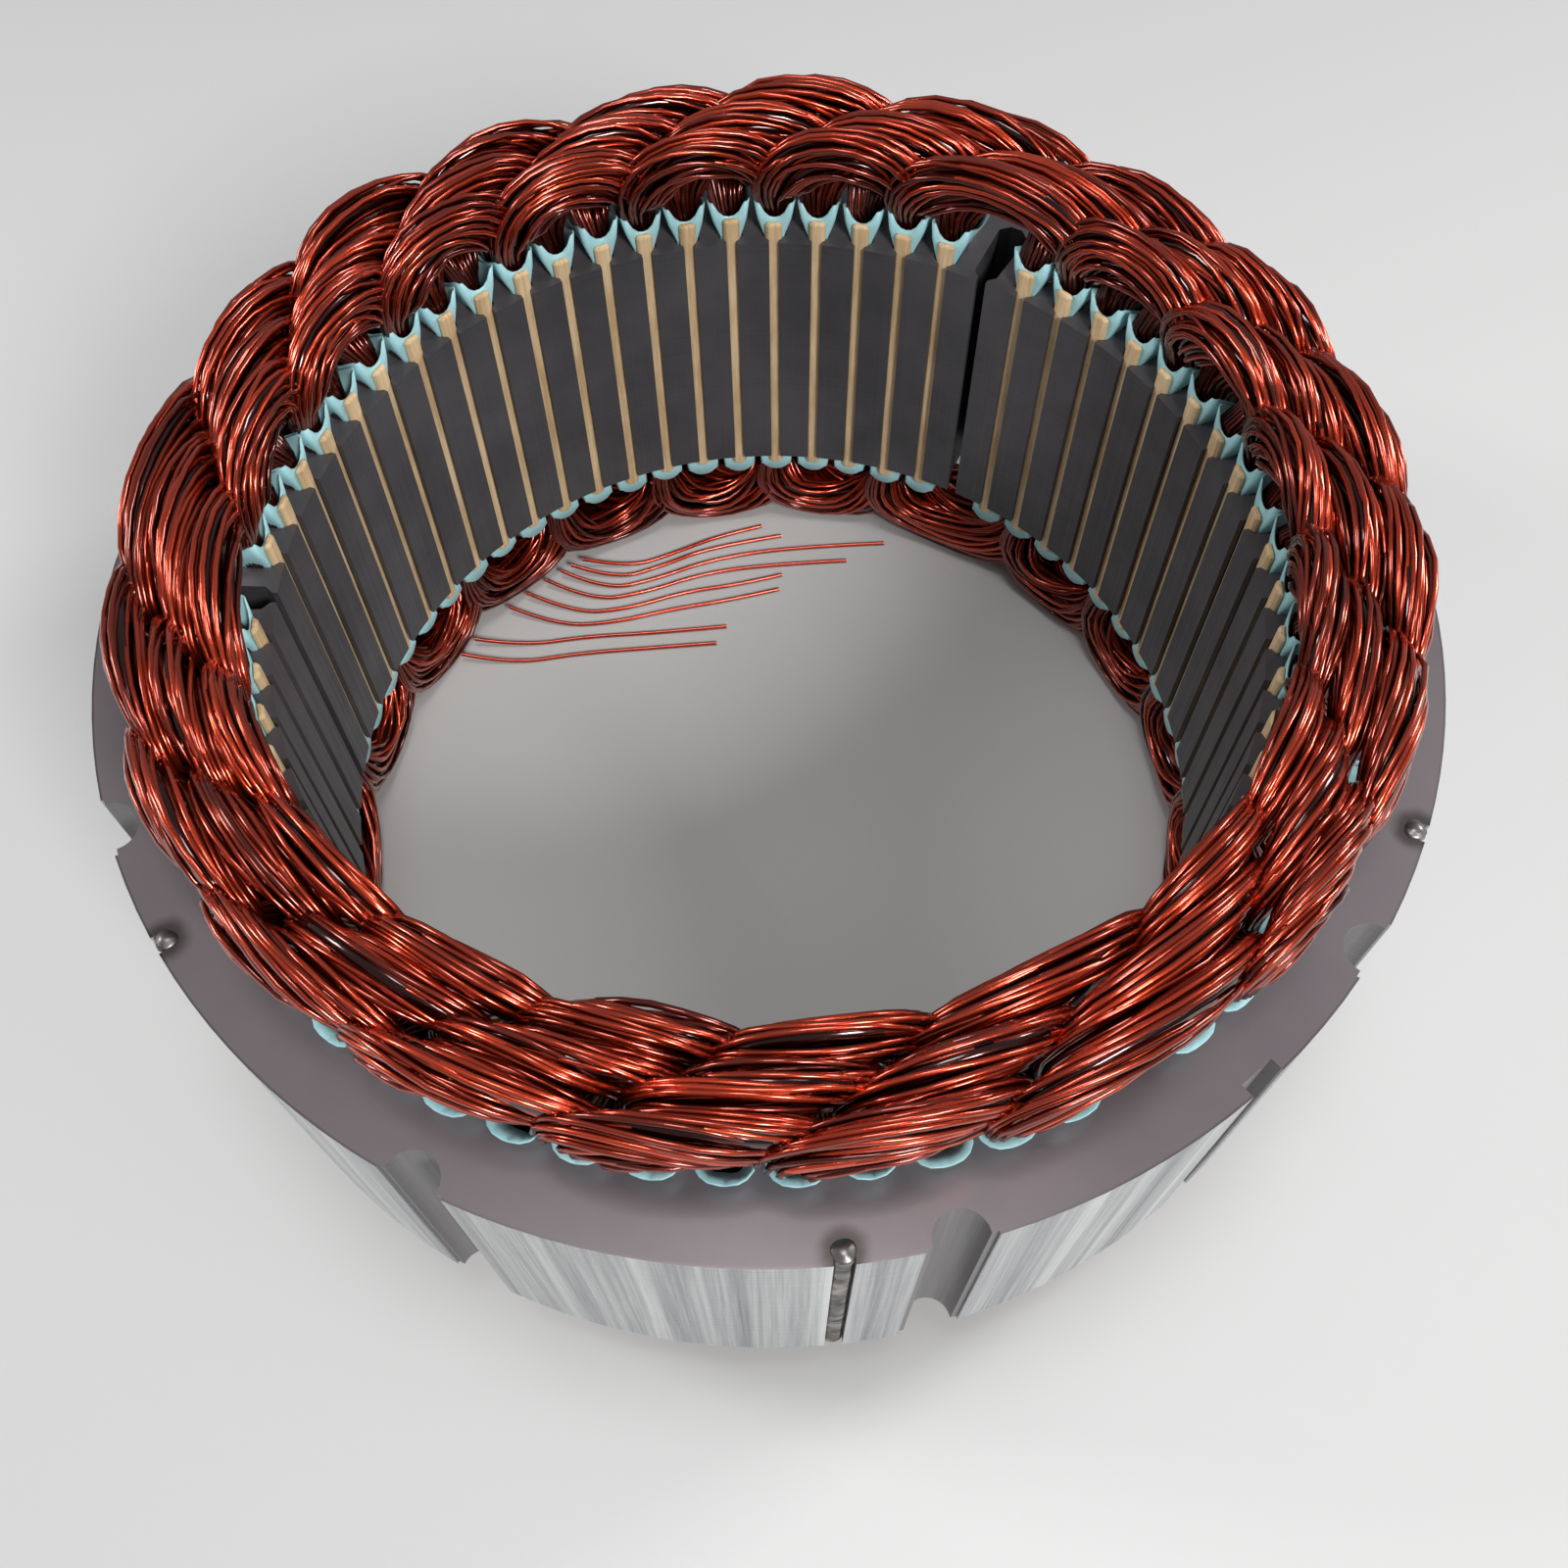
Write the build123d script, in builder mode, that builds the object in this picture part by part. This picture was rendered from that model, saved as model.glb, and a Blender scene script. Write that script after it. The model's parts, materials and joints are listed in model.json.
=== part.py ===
from build123d import *
import os
from math import cos, radians, sin, sqrt, tan

os.makedirs("parts", exist_ok=True)

# Wound stator of a permanent magnet generator, standing on its lower end turns.
# The origin is on the bore axis, on the surface that the end turns rest on. All sizes are in mm.

# Laminated core: 290 mm outside, from the bore, the slots and the yoke behind them
bore_diameter = 215.0
slot_depth = 21.3
yoke_width = 16.2
stack_height = 80.0
tooth_width = 5.0

# Slots, counted clockwise from the one on the -X axis
slot_count = 63
slot_opening = 2.6
slot_corner = 2.4  # slanted corners at the bottom of a slot
tip_height = 1.2  # straight sides of the slot opening
shoulder_angle = 45.0  # slope from the opening out to the teeth
sector_count = 3  # each sector starts with one empty slot

# Notches in the outside for the clamping bolts
clamp_notch_count = 9
clamp_notch_radius = 5.4
clamp_notch_inset = 1.0  # from the outside to the notch's centre
clamp_notch_lip_width = 13.6
clamp_notch_lip_depth = 0.8
clamp_notch_angle = 2.857

# Weld seams that hold the laminations together
weld_count = 6
weld_angle = -85.5
weld_groove_width = 4.0
weld_groove_depth = 1.8
weld_crown_drop = 0.3  # from the outside of the core down to the crown of the bead

# Locating keyway
keyway_width = 8.0
keyway_depth = 3.0
keyway_angle = -51.4

# Slot liners of folded insulating sheet
liner_thickness = 0.4
liner_clearance = 0.1
upper_cuff = 9.0  # how far the liners stand out of the upper face
lower_cuff = 4.0

# Wedges that close the slots behind the tooth tips
wedge_width = 4.2
wedge_thickness = 1.5
wedge_upper_length = 6.5  # how far the wedges stand out of the upper face
wedge_lower_length = 4.0
wedge_clearance = 0.2

# Winding: three phases, coils over three slot pitches, two coil sides in each slot
phase_names = ("a", "b", "c")
coil_pitch = 3
conductor_clearance = 0.1
coil_side_gap = 0.4  # between the two coil sides of one slot
root_width = 5.2  # coil side where it leaves the slot

# End turns: one tier for each phase, from the bore outwards
tier_bore_margin = 0.9  # from the bore's radius out to the first tier
tier_depth = 8.2
crown_chamfer_width = 1.7  # slanted top edges, so that an end turn narrows to its crown
crown_chamfer_height = 8.5
tier_gap = 0.3
layer_gap = 0.3  # between a coil's first leg and the leg of the coil before it
leg_width = 10.0
root_height = 9.0  # end of the straight coil sides, above the core's face
tier_height = 14.0  # end of the slanted legs, above the core's face
eye_height = 19.5  # top of the opening under an end turn
eye_taper = 28.0
shoulder_height = 21.0  # top of an end turn at its ends
knee_height = 27.4
knee_half_width = 16.0
crown_height = 31.0
crown_half_width = 7.0
belly_angle = 3.2  # over which an end turn widens from one layer to its whole tier

# Free ends of the winding wire, lying inside the bore
wire_diameter = 1.2
lead_sides = 4
arc_share = 0.45  # of the shorter run that a bend may take up
lead_routes = (
    ((-57.2, 91.4, 3.5), (-43, 90, 0.65), (-29, 95.5, 0.65), (-15, 102, 0.65), (-2, 105.4, 0.65)),
    (
        (-63.5, 87.1, 3.5),
        (-50, 81.5, 0.65),
        (-35, 85.5, 0.65),
        (-17, 93, 0.65),
        (8, 97, 0.65),
        (36, 98, 0.65),
    ),
    ((-60.5, 89.2, 3.5), (-47, 85.5, 0.65), (-33, 90.5, 0.65), (-18, 97.5, 0.65), (4, 101.5, 0.65)),
    (
        (-68, 83.7, 3.5),
        (-54, 77.5, 0.65),
        (-38, 80.5, 0.65),
        (-20, 87.5, 0.65),
        (2, 90.5, 0.65),
        (24, 91.5, 0.65),
    ),
    (
        (-73.5, 78.9, 3.5),
        (-59, 73, 0.65),
        (-43, 74.5, 0.65),
        (-26, 80.5, 0.65),
        (-9, 83, 0.65),
        (4, 86.5, 0.65),
    ),
    (
        (-78.5, 73.9, 3.5),
        (-64, 68.5, 0.65),
        (-47, 69.5, 0.65),
        (-30, 74, 0.65),
        (-13, 77, 0.65),
        (3, 81, 0.65),
    ),
    ((-88, 62.3, 3.5), (-74, 61.5, 0.65), (-55, 64.5, 0.65), (-34, 65.5, 0.65), (-13, 67.5, 0.65)),
    ((-91.5, 57, 3.5), (-77, 55, 0.65), (-57, 58.5, 0.65), (-36, 60, 0.65), (-16, 61.5, 0.65)),
)

# Worked out from the sizes above
bore_radius = bore_diameter / 2
slot_bottom_radius = bore_radius + slot_depth
core_radius = slot_bottom_radius + yoke_width
core_bottom = crown_height
core_top = core_bottom + stack_height
mid_plane = Plane.XY.offset(core_bottom + stack_height / 2)
slot_pitch = 360 / slot_count
sector_slots = slot_count // sector_count
half_pitch = radians(slot_pitch / 2)


def slot_angle(index):
    """Angle of a slot, counted clockwise from the -X axis."""
    return 180 - index * slot_pitch


def turned(angle):
    """A place at the origin, turned about the bore axis."""
    return Location((0, 0, 0), (0, 0, angle))


def polar(radius, angle):
    """A point in plan, from its radius and its angle in degrees."""
    return (radius * cos(radians(angle)), radius * sin(radians(angle)))


# Slot along +X: straight mouth, sloping shoulders, parallel teeth and slanted bottom corners
tip_radius = bore_radius + tip_height
slope = tan(radians(shoulder_angle))
tooth_offset = tooth_width / 2 / cos(half_pitch)
shoulder_radius = (tip_radius * slope - slot_opening / 2 - tooth_offset) / (slope - tan(half_pitch))
corner_sum = slot_bottom_radius * (1 + tan(half_pitch)) - tooth_offset - slot_corner


def slot_half(front, inset):
    """Half a slot's outline from a front radius back to its bottom, moved in from the iron."""
    wall = tooth_offset + inset / cos(half_pitch)
    corner = corner_sum - inset * sqrt(2)
    corner_start = (corner + wall) / (1 + tan(half_pitch))
    back = slot_bottom_radius - inset
    return [
        (front, front * tan(half_pitch) - wall),
        (corner_start, corner - corner_start),
        (back, corner - back),
    ]


def mirrored(points):
    """The same points on the other side of the slot, in the opposite order."""
    return [(x, -y) for x, y in reversed(points)]


mouth_half = [(bore_radius - slot_opening, slot_opening / 2), (tip_radius, slot_opening / 2)]
iron_half = mouth_half + slot_half(shoulder_radius, 0)
with BuildSketch() as slot_outline:
    with BuildLine():
        Polyline(*iron_half, *mirrored(iron_half), close=True)
    make_face()

with BuildPart() as stator_core:
    with BuildSketch(Plane.XY.offset(core_bottom)):
        Circle(core_radius)
        Circle(bore_radius, mode=Mode.SUBTRACT)
        with PolarLocations(0, slot_count, start_angle=slot_angle(0)):
            add(slot_outline.sketch, mode=Mode.SUBTRACT)
        with PolarLocations(core_radius - clamp_notch_inset, clamp_notch_count, clamp_notch_angle):
            Circle(clamp_notch_radius, mode=Mode.SUBTRACT)
        with PolarLocations(core_radius, clamp_notch_count, clamp_notch_angle):
            Rectangle(2 * clamp_notch_lip_depth, clamp_notch_lip_width, mode=Mode.SUBTRACT)
        with PolarLocations(core_radius, weld_count, weld_angle):
            Rectangle(2 * weld_groove_depth, weld_groove_width, mode=Mode.SUBTRACT)
        with Locations(turned(keyway_angle)):
            with Locations((core_radius, 0)):
                Rectangle(2 * keyway_depth, keyway_width, mode=Mode.SUBTRACT)
    extrude(amount=stack_height)
stator_core.part.label = "stator_core"
export_step(stator_core.part, "parts/stator_core.step")

# Weld beads, each seated on the flat bottom of its groove
bead_seat = core_radius - weld_groove_depth
bead_crown = core_radius - weld_crown_drop
for number in range(weld_count):
    with BuildPart() as weld_bead:
        plane = Plane.XY.offset(core_bottom).rotated((0, 0, weld_angle + number * 360 / weld_count))
        with BuildSketch(plane):
            with BuildLine():
                Line((bead_seat, weld_groove_width / 2), (bead_seat, -weld_groove_width / 2))
                ThreePointArc(
                    (bead_seat, -weld_groove_width / 2),
                    (bead_crown, 0),
                    (bead_seat, weld_groove_width / 2),
                )
            make_face()
        extrude(amount=stack_height)
    weld_bead.part.label = f"weld_bead_{number + 1}"
    export_step(weld_bead.part, f"parts/weld_bead_{number + 1}.step")


# Slot liners: a folded sheet in the shape of a U that lines the slot
liner_front = shoulder_radius + liner_clearance
liner_inset = liner_clearance + liner_thickness
liner_outside = slot_half(liner_front, liner_clearance)
liner_inside = slot_half(liner_front, liner_inset)
with BuildSketch() as liner_outline:
    with BuildLine():
        Polyline(
            *liner_outside,
            *mirrored(liner_outside),
            *mirrored(liner_inside)[::-1],
            *liner_inside[::-1],
            close=True,
        )
    make_face()

# Wedges: flat bars whose bevelled front edges lie against the sloping shoulders of the slot
wedge_front = tip_radius + wedge_clearance
wedge_bevel = (wedge_width - slot_opening) / 2 / slope
wedge_back = wedge_front + wedge_thickness
wedge_half = [
    (wedge_front, slot_opening / 2),
    (wedge_front + wedge_bevel, wedge_width / 2),
    (wedge_back, wedge_width / 2),
]
with BuildSketch() as wedge_outline:
    with BuildLine():
        Polyline(*wedge_half, *mirrored(wedge_half), close=True)
    make_face()

for sector in range(sector_count):
    last_slot = sector * sector_slots + sector_slots - 1
    filled = {"count": sector_slots - 1, "start_angle": slot_angle(last_slot)}
    with BuildPart() as slot_liners:
        with BuildSketch(Plane.XY.offset(core_bottom - lower_cuff)):
            with PolarLocations(0, angular_range=(sector_slots - 1) * slot_pitch, **filled):
                add(liner_outline.sketch)
        extrude(amount=lower_cuff + stack_height + upper_cuff)
    slot_liners.part.label = f"slot_liners_{sector + 1}"
    export_step(slot_liners.part, f"parts/slot_liners_{sector + 1}.step")

    with BuildPart() as slot_wedges:
        with BuildSketch(Plane.XY.offset(core_bottom - wedge_lower_length)):
            with PolarLocations(0, angular_range=(sector_slots - 1) * slot_pitch, **filled):
                add(wedge_outline.sketch)
        extrude(amount=wedge_lower_length + stack_height + wedge_upper_length)
    slot_wedges.part.label = f"slot_wedges_{sector + 1}"
    export_step(slot_wedges.part, f"parts/slot_wedges_{sector + 1}.step")

# Coil sides in the slots, inside the liners
wound_slots = [slot for slot in range(slot_count) if slot % sector_slots != 0]
side_front = wedge_back + conductor_clearance
side_half = slot_half(side_front, liner_inset + conductor_clearance)[:2]
side_back = side_half[1][0]
with BuildSketch() as side_outline:
    with BuildLine():
        Polyline(*side_half, *mirrored(side_half), close=True)
    make_face()

for phase, name in enumerate(phase_names):
    phase_slots = wound_slots[phase :: coil_pitch]
    with BuildPart() as slot_conductors:
        with BuildSketch(Plane.XY.offset(core_bottom - root_height)):
            with Locations(*[turned(slot_angle(slot)) for slot in phase_slots]):
                add(side_outline.sketch)
        extrude(amount=stack_height + 2 * root_height)
    slot_conductors.part.label = f"slot_conductors_{name}"
    export_step(slot_conductors.part, f"parts/slot_conductors_{name}.step")

# End turns. Each leaves the half of its slot next to the bore, crosses to the next slot of its
# phase and goes down into that slot's outer half, behind the start of the next end turn.
layer_depth = (tier_depth - layer_gap) / 2
slot_middle = (side_front + side_back) / 2
tier_inner_radius = bore_radius + tier_bore_margin
root_half_gap = coil_side_gap / 2


def leg(root_inner, root_outer, layer_inner):
    """One slanted leg along +X, from a coil side up to its layer of the tier."""
    low = core_top + root_height
    high = core_top + tier_height
    with BuildPart() as slanted:
        with BuildSketch(Plane.XZ):
            with BuildLine():
                Polyline(
                    (root_inner, low),
                    (root_outer, low),
                    (layer_inner + layer_depth, high),
                    (layer_inner, high),
                    close=True,
                )
            make_face()
        extrude(amount=leg_width, both=True)
        with BuildSketch(Plane.YZ):
            with BuildLine():
                Polyline(
                    (-root_width / 2, low),
                    (root_width / 2, low),
                    (leg_width / 2, high),
                    (-leg_width / 2, high),
                    close=True,
                )
            make_face()
        extrude(amount=core_radius, mode=Mode.INTERSECT)
    return slanted.part


def end_turn(inner_radius, slots):
    """One upper end turn, from a slot on +X clockwise over a number of slot pitches."""
    span = slots * slot_pitch
    outer_radius = inner_radius + tier_depth
    outer_layer = outer_radius - layer_depth
    half_leg = leg_width / 2
    leg_angle = half_leg / radians(1) / inner_radius
    inner_sweep = span - 2 * leg_angle - belly_angle
    inner_rise = 2 * inner_radius * (1 / cos(radians(inner_sweep / 2)) - 1)
    far = turned(-span)

    def beside_far(radius, side):
        """A point in plan beside the far slot."""
        place = far * Location((radius, side, 0))
        return (place.position.X, place.position.Y)

    first_leg = leg(side_front, slot_middle - root_half_gap, inner_radius)
    second_leg = leg(slot_middle + root_half_gap, side_back, outer_layer)
    with BuildPart() as turn:
        with BuildSketch(Plane.XY.offset(core_top + tier_height)):
            with BuildLine():
                Polyline(
                    (inner_radius, half_leg),
                    (inner_radius, -half_leg),
                    polar(inner_radius + inner_rise, -(span - leg_angle - belly_angle)),
                    beside_far(outer_layer, half_leg),
                    beside_far(outer_layer, -half_leg),
                    beside_far(outer_radius, -half_leg),
                    beside_far(outer_radius, half_leg),
                    polar(outer_radius, -(leg_angle + belly_angle)),
                    (inner_radius + layer_depth, -half_leg),
                    (inner_radius + layer_depth, half_leg),
                    close=True,
                )
            make_face()
        extrude(amount=crown_height - tier_height)
        crown = turn.faces().sort_by(Axis.Z)[-1]
        chamfer(crown.edges(), crown_chamfer_width, crown_chamfer_height, reference=crown)
        middle = Plane(
            origin=(0, 0, core_top),
            x_dir=(*polar(1, 90 - span / 2), 0),
            z_dir=(*polar(1, -span / 2), 0),
        )
        side = outer_radius * sin(radians(span / 2)) + half_leg
        with BuildSketch(middle):
            with BuildLine():
                Polyline(
                    (-side, tier_height),
                    (-side, shoulder_height),
                    (-knee_half_width, knee_height),
                    (-crown_half_width, crown_height),
                    (crown_half_width, crown_height),
                    (knee_half_width, knee_height),
                    (side, shoulder_height),
                    (side, tier_height),
                    close=True,
                )
            make_face()
        extrude(amount=core_radius, both=True, mode=Mode.INTERSECT)
        with BuildSketch(Plane.XY.offset(core_top + tier_height)):
            with BuildLine():
                Polyline(
                    (bore_radius - tier_depth, -half_leg),
                    (core_radius, -half_leg),
                    beside_far(core_radius, half_leg),
                    beside_far(bore_radius - tier_depth, half_leg),
                    close=True,
                )
            make_face()
        extrude(amount=eye_height - tier_height, taper=eye_taper, mode=Mode.SUBTRACT)
        add(first_leg)
        with Locations(far):
            add(second_leg)
    return turn.part


for phase, name in enumerate(phase_names):
    inner_radius = tier_inner_radius + phase * (tier_depth + tier_gap)
    normal_turn = end_turn(inner_radius, coil_pitch)
    long_turn = end_turn(inner_radius, coil_pitch + 1)
    phase_slots = wound_slots[phase :: coil_pitch]
    for sector in range(sector_count):
        starts = [slot for slot in phase_slots if slot // sector_slots == sector]
        with BuildPart() as upper_end_turns:
            for slot in starts:
                crosses_empty = (slot + coil_pitch) // sector_slots != sector
                turn = long_turn if crosses_empty else normal_turn
                with Locations(turned(slot_angle(slot))):
                    add(turn)
        upper_end_turns.part.label = f"upper_end_turns_{name}_{sector + 1}"
        export_step(upper_end_turns.part, f"parts/upper_end_turns_{name}_{sector + 1}.step")

        with BuildPart() as lower_end_turns:
            add(upper_end_turns.part.mirror(mid_plane))
        lower_end_turns.part.label = f"lower_end_turns_{name}_{sector + 1}"
        export_step(lower_end_turns.part, f"parts/lower_end_turns_{name}_{sector + 1}.step")

# Free wire ends: straight runs joined by arcs as large as the runs allow
for number, route in enumerate(lead_routes, start=1):
    points = [Vector(*point) for point in route]
    radii = []
    for before, corner, after in zip(points, points[1:], points[2:]):
        shorter = min((corner - before).length, (after - corner).length)
        turn_angle = (corner - before).get_angle(after - corner)
        radii.append(arc_share * shorter / tan(radians(turn_angle / 2)))
    with BuildPart() as lead_wire:
        with BuildLine() as path:
            FilletPolyline(*points, radius=radii)
        wire = path.wire()
        with BuildSketch(Plane(origin=wire @ 0, z_dir=wire % 0)):
            RegularPolygon(wire_diameter / 2, lead_sides)
        sweep()
    print(f"lead_wire_{number} length {wire.length:.1f} radii", [round(r) for r in radii])
    lead_wire.part.label = f"lead_wire_{number}"
    export_step(lead_wire.part, f"parts/lead_wire_{number}.step")
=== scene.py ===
import bpy
import json
import numpy as np
from math import cos, pi, radians, sin, tau
from mathutils import Matrix, Vector


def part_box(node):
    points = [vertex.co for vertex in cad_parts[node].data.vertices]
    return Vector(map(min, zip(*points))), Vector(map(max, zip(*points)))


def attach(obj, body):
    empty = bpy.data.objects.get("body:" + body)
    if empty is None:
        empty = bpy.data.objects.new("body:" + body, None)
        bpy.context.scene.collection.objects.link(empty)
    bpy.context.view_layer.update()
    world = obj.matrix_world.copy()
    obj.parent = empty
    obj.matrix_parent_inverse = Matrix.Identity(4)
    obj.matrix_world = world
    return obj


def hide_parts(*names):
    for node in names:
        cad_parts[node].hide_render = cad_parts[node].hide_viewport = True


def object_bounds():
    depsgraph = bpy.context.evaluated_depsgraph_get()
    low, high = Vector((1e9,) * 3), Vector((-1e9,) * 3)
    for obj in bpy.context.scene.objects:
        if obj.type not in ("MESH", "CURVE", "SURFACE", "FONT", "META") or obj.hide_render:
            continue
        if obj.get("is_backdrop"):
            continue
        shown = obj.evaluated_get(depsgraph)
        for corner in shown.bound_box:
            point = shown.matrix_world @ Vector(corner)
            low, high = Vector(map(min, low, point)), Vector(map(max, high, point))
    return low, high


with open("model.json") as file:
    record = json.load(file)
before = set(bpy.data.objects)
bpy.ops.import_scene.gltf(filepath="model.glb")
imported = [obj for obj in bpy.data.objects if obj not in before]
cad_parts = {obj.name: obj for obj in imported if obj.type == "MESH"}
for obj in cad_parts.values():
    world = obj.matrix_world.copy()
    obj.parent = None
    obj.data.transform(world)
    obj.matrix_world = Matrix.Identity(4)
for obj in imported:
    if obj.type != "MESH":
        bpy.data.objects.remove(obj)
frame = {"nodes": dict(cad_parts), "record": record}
cad_low, cad_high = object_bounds()
MM = 0.001
chance = np.random.default_rng(63)

# Sizes taken from the frame, in mm
mounts = {mount["name"]: mount for mount in frame["record"]["mounts"]}
core_low, core_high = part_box("stator_core")
core_bottom = core_low[2] / MM
core_top = core_high[2] / MM
core_radius = core_high[0] / MM
bore_radius = mounts["bore"]["dims"]["r_mm"]
model_top = cad_high[2] / MM

# Weld seams in the outside of the core, in mm and degrees
weld_count = 6
weld_angle = -85.5
weld_seat = 143.2
weld_half_width = 2.0
weld_crown = 1.3
weld_drop_radius = 142.6  # from the bore axis to the middle of the drop at a seam's end
heat_centre_inset = 2.4  # from the outside of the core to the middle of the heat tint
heat_start = 3.4
heat_end = 6.6

# Slots, counted clockwise from the one on the -X axis, in mm and degrees
slot_count = 63
sector_slots = 21
slot_pitch = 360 / slot_count
coil_pitch = 3
phase_names = ("a", "b", "c")

# Winding wire and tiers of end turns, in mm
wire_radius = 0.69
wire_sides = 5
wires_per_turn = 32
path_points = 18
tier_inner = 108.4
tier_depth = 8.2
tier_gap = 0.3


def slot_angle(index):
    """Angle of a slot in degrees, counted clockwise from the -X axis."""
    return 180 - index * slot_pitch


def piece_from(name, points, faces, material, replaced=(), smooth=True):
    """A mesh piece in mm that rides on the body and stands for CAD nodes."""
    mesh = bpy.data.meshes.new(name)
    mesh.from_pydata([tuple(p) for p in np.asarray(points) * MM], [], faces)
    if smooth:
        mesh.shade_smooth()
    mesh.materials.append(material)
    piece = bpy.data.objects.new(name, mesh)
    bpy.context.scene.collection.objects.link(piece)
    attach(piece, "root")
    if replaced:
        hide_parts(*replaced)
    return piece


# Camera, fitted to the photograph in units of the core's radius
focal_length = 1589.4
photo_size = 1600
sensor_width = 36
camera_back = 1.39802
camera_rise = 1.91269
camera_pan = 0.0156263
camera_tilt = 1.0635309
camera_roll = -0.0023633

aim = Vector((sin(camera_pan) * cos(camera_tilt), cos(camera_pan) * cos(camera_tilt), -sin(camera_tilt)))
level = aim.cross(Vector((0, 0, 1))).normalized()
upright = level.cross(aim)
across = cos(camera_roll) * level + sin(camera_roll) * upright
up = -sin(camera_roll) * level + cos(camera_roll) * upright
camera_data = bpy.data.cameras.new("camera")
camera_data.sensor_width = sensor_width
camera_data.lens = focal_length / photo_size * sensor_width
camera = bpy.data.objects.new("camera", camera_data)
bpy.context.scene.collection.objects.link(camera)
camera.matrix_world = Matrix((across, up, -aim)).transposed().to_4x4()
camera.location = Vector((0, -camera_back * core_radius, core_top + camera_rise * core_radius)) * MM
bpy.context.scene.camera = camera


class Nodes:
    """Builds a material's node tree with short calls."""

    def __init__(self, name):
        self.material = bpy.data.materials.new(name)
        self.material.use_nodes = True
        self.tree = self.material.node_tree
        self.tree.nodes.clear()
        self.shader = self.add("ShaderNodeBsdfPrincipled")
        output = self.add("ShaderNodeOutputMaterial")
        self.link(self.shader.outputs[0], output.inputs["Surface"])

    def add(self, kind, inputs=None, **settings):
        node = self.tree.nodes.new(kind)
        for key, value in settings.items():
            setattr(node, key, value)
        for key, value in (inputs or {}).items():
            if isinstance(value, bpy.types.NodeSocket):
                self.link(value, node.inputs[key])
            else:
                node.inputs[key].default_value = value
        return node

    def link(self, start, end):
        self.tree.links.new(start, end)

    def place(self, scale=(1, 1, 1)):
        """The point on the surface, in metres, stretched by a scale."""
        coordinates = self.add("ShaderNodeTexCoord")
        mapping = self.add("ShaderNodeMapping", {"Vector": coordinates.outputs["Object"], "Scale": scale})
        return mapping.outputs[0]

    def noise(self, where, scale, detail=3, roughness=0.5):
        node = self.add(
            "ShaderNodeTexNoise",
            {"Vector": where, "Scale": scale, "Detail": detail, "Roughness": roughness},
        )
        return node.outputs["Fac"]

    def math(self, operation, a, b=0.0, clamp=False):
        node = self.add("ShaderNodeMath", {0: a, 1: b}, operation=operation, use_clamp=clamp)
        return node.outputs[0]

    def span(self, value, low, high, to_low=0.0, to_high=1.0):
        """Maps a value from one range to another, with smooth ends."""
        node = self.add(
            "ShaderNodeMapRange",
            {"Value": value, "From Min": low, "From Max": high, "To Min": to_low, "To Max": to_high},
            interpolation_type="SMOOTHSTEP",
        )
        return node.outputs[0]

    def mix(self, share, a, b):
        node = self.add("ShaderNodeMix", data_type="RGBA")
        for socket, value in ((node.inputs[0], share), (node.inputs[6], a), (node.inputs[7], b)):
            if isinstance(value, bpy.types.NodeSocket):
                self.link(value, socket)
            elif isinstance(value, tuple):
                socket.default_value = (*value, 1)
            else:
                socket.default_value = value
        return node.outputs[2]

    def set(self, **inputs):
        """Sets inputs of the shader, with underscores for spaces in their names."""
        for key, value in inputs.items():
            socket = self.shader.inputs[key.replace("_", " ")]
            if isinstance(value, bpy.types.NodeSocket):
                self.link(value, socket)
            elif isinstance(value, tuple):
                socket.default_value = (*value, 1)
            else:
                socket.default_value = value

    def bump(self, height, distance, strength=1.0):
        node = self.add("ShaderNodeBump", {"Height": height, "Distance": distance, "Strength": strength})
        self.set(Normal=node.outputs[0])


def copper_material(name, shade=None):
    """Enamelled copper: dark red-brown lacquer over bright metal, lighter where a wire's stored tone and
    painted shade is higher. A shade replaces the stored value.
    """
    nodes = Nodes(name)
    tone_and_painted_shade = shade
    if shade is None:
        tone_and_painted_shade = nodes.add("ShaderNodeAttribute", attribute_name="tone_and_painted_shade").outputs["Fac"]
    streak = nodes.noise(nodes.place(), 90, 4)
    amount = nodes.math("MULTIPLY", tone_and_painted_shade, nodes.math("ADD", 0.75, nodes.math("MULTIPLY", streak, 0.5)))
    colour = nodes.mix(amount, (0.03, 0.0015, 0.0005), (0.86, 0.09, 0.024))
    nodes.set(Base_Color=colour, Metallic=0.85, Roughness=0.24)
    nodes.shader.inputs["Coat Weight"].default_value = 1.0
    nodes.shader.inputs["Coat Roughness"].default_value = 0.1
    nodes.shader.inputs["Coat Tint"].default_value = (1.0, 0.86, 0.80, 1)
    nodes.bump(nodes.noise(nodes.place(), 900, 2), 0.0001, 0.4)
    return nodes.material


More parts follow.
